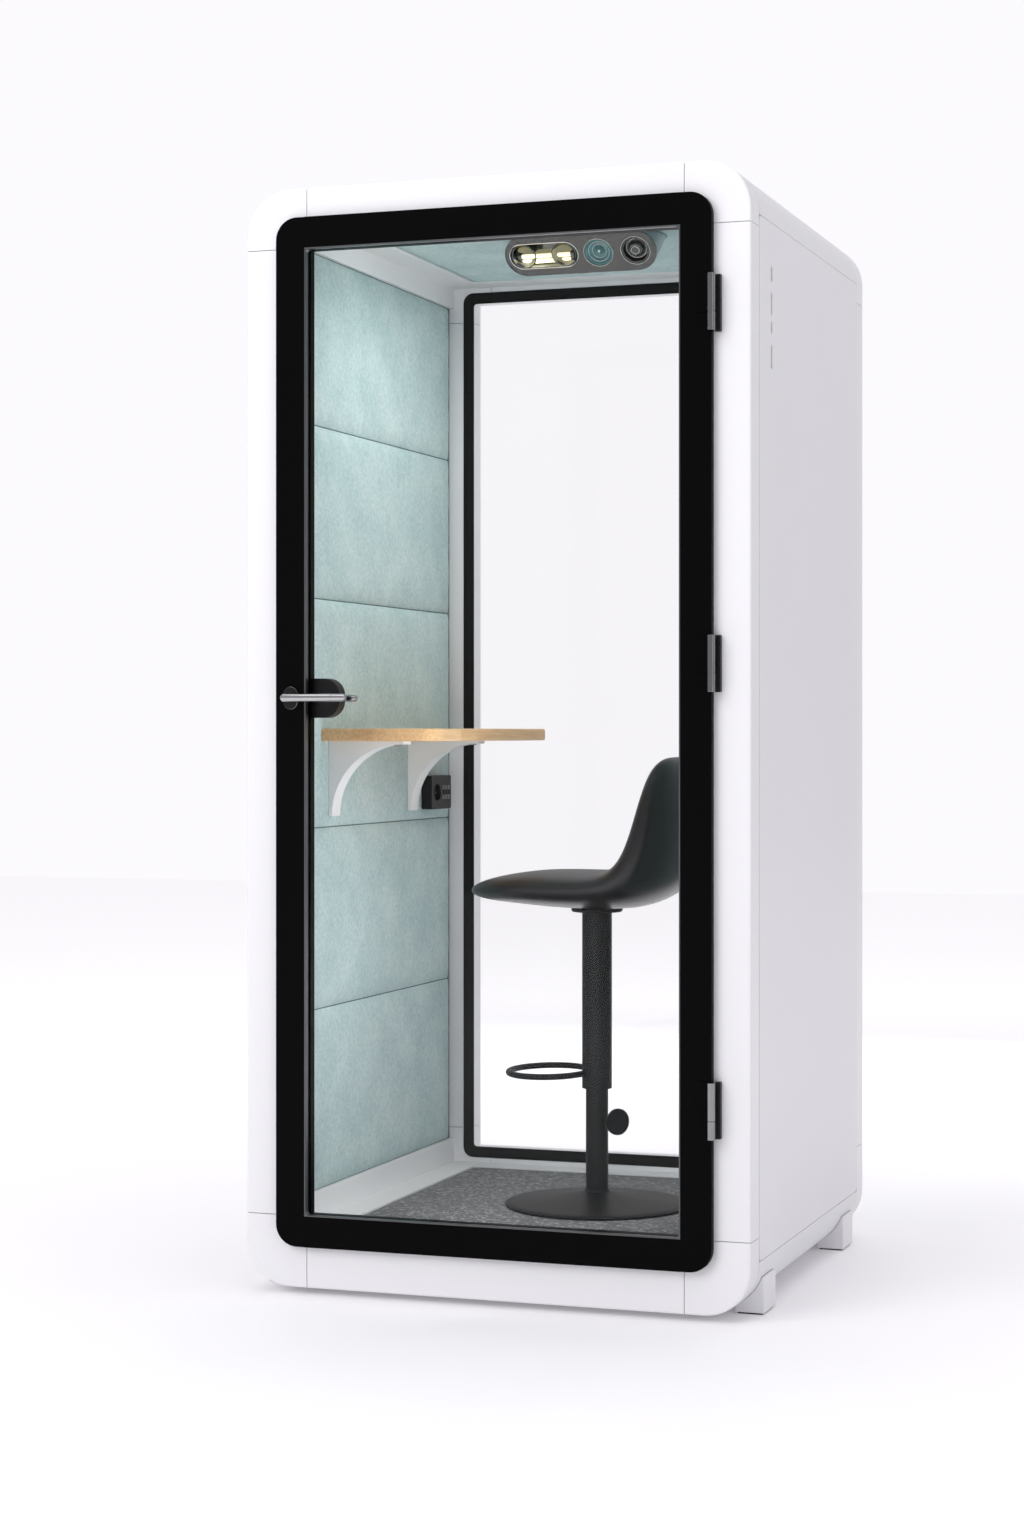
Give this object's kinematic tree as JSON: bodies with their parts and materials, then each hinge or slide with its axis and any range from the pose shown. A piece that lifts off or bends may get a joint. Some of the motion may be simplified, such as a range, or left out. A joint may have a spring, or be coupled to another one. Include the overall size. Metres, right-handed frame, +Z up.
{
  "type": "office phone booth",
  "caption": "Single-person acoustic office phone booth with a framed glass door, rear window, padded walls, side table, ceiling fan console and swivel stool.",
  "frame": {"origin": "on the floor under the foot pads, in the middle of the whole footprint with the door's levers", "axes": "+X to the right seen from the door, +Y from the door to the rear window, +Z up"},
  "size_m": [1.062, 1.089, 2.25],
  "materials": {
    "white_frame": "satin",
    "white_panel": "satin",
    "dark_metal": "satin",
    "black_door": "satin",
    "core": "matte",
    "board": "matte",
    "carpet": "matte",
    "felt": "matte",
    "white_trim": "satin",
    "glass": "gloss",
    "rubber": "matte",
    "oak": "satin",
    "white_steel": "satin",
    "black_plastic": "matte",
    "chrome": "polished",
    "steel": "satin",
    "reflector": "polished",
    "tube_glow": "gloss",
    "dish": "gloss",
    "seat": "satin"
  },
  "bodies": {
    "cabin": {"front_posts": "white_frame", "front_rails": "white_frame", "front_corner_blocks": "white_frame", "strike_plate": "steel", "rear_frame_bars": "white_frame", "rear_corner_blocks": "white_frame", "rear_window_border": "rubber", "rear_glass": "glass", "side_panels": "white_panel", "roof_panel": "white_panel", "base_pan": "white_panel", "edge_trims": "white_panel", "foot_blocks": "white_frame", "foot_pads": "rubber", "power_inlet": "black_plastic", "insulation_cores": "core", "liners": "board", "floor_deck": "board", "carpet": "carpet", "rear_strips": "white_trim", "inner_trims": "white_trim", "left_wall_felts": "felt", "right_wall_felts": "felt", "ceiling_felt": "felt", "base_frame": "dark_metal", "hinge_frame_leaves": "dark_metal", "table_top": "oak", "table_brackets": "white_steel", "bracket_screws": "steel", "socket_box": "black_plastic", "console_housing": "chrome", "console_bezel": "chrome", "lamp_reflector": "reflector", "lamp_tubes": "tube_glow", "vent_dish": "dish", "air_nozzle": "dark_metal", "fan_frames": "black_plastic", "roof_grille": "dark_metal", "stool_base": "dark_metal", "stool_lower_tube": "dark_metal"},
    "door": {"door_lock_stile": "black_door", "door_hinge_stile": "black_door", "door_rails": "black_door", "door_glass": "glass", "glazing_bead": "chrome", "door_seal": "rubber", "hinge_door_leaves": "dark_metal", "lock_case": "black_plastic", "handle_roses": "dark_metal"},
    "handle": {"lever_handles": "chrome", "spindle": "steel"},
    "latch": {"latch_bolt": "steel"},
    "fan_left": {"fan_rotor_left": "black_plastic"},
    "fan_right": {"fan_rotor_right": "black_plastic"},
    "stool_upper": {"stool_sleeve": "dark_metal", "foot_ring": "dark_metal"},
    "seat": {"seat_shell": "seat", "seat_plate": "dark_metal"},
    "knob": {"clamp_knob": "black_plastic"}
  },
  "joints": [
    {"name": "door_hinge", "type": "hinge", "parent": "cabin", "child": "door", "pos_m": [0.459, -0.51, 1.1435], "axis": [0, 0, 1], "range_deg": [0, 110]},
    {"name": "lever_turn", "type": "hinge", "parent": "door", "child": "handle", "pos_m": [-0.423, -0.5015, 1.2125], "axis": [0, 1, 0], "range_deg": [0, 40], "stiffness_Nm_per_rad": 1.2, "springref_deg": -28.65},
    {"name": "latch_slide", "type": "slide", "parent": "door", "child": "latch", "axis": [1, 0, 0], "range_m": [0, 0.01]},
    {"name": "fan_left_spin", "type": "hinge", "parent": "cabin", "child": "fan_left", "pos_m": [0.002, -0.082, 2.215], "axis": [0, 0, 1], "continuous": true},
    {"name": "fan_right_spin", "type": "hinge", "parent": "cabin", "child": "fan_right", "pos_m": [0.152, -0.082, 2.215], "axis": [0, 0, 1], "continuous": true},
    {"name": "stool_height", "type": "slide", "parent": "cabin", "child": "stool_upper", "axis": [0, 0, 1], "range_m": [-0.05, 0.08]},
    {"name": "seat_swivel", "type": "hinge", "parent": "stool_upper", "child": "seat", "pos_m": [0.068, 0.0065, 0.75], "axis": [0, 0, 1], "continuous": true},
    {"name": "knob_turn", "type": "hinge", "parent": "cabin", "child": "knob", "pos_m": [0.068, 0.0065, 0.316], "axis": [0.829, -0.5592, 0], "range_deg": [0, 360]}
  ],
  "couplings": [
    {"joint": "latch_slide", "follows": "lever_turn", "m_per_rad": 0.01432}
  ]
}
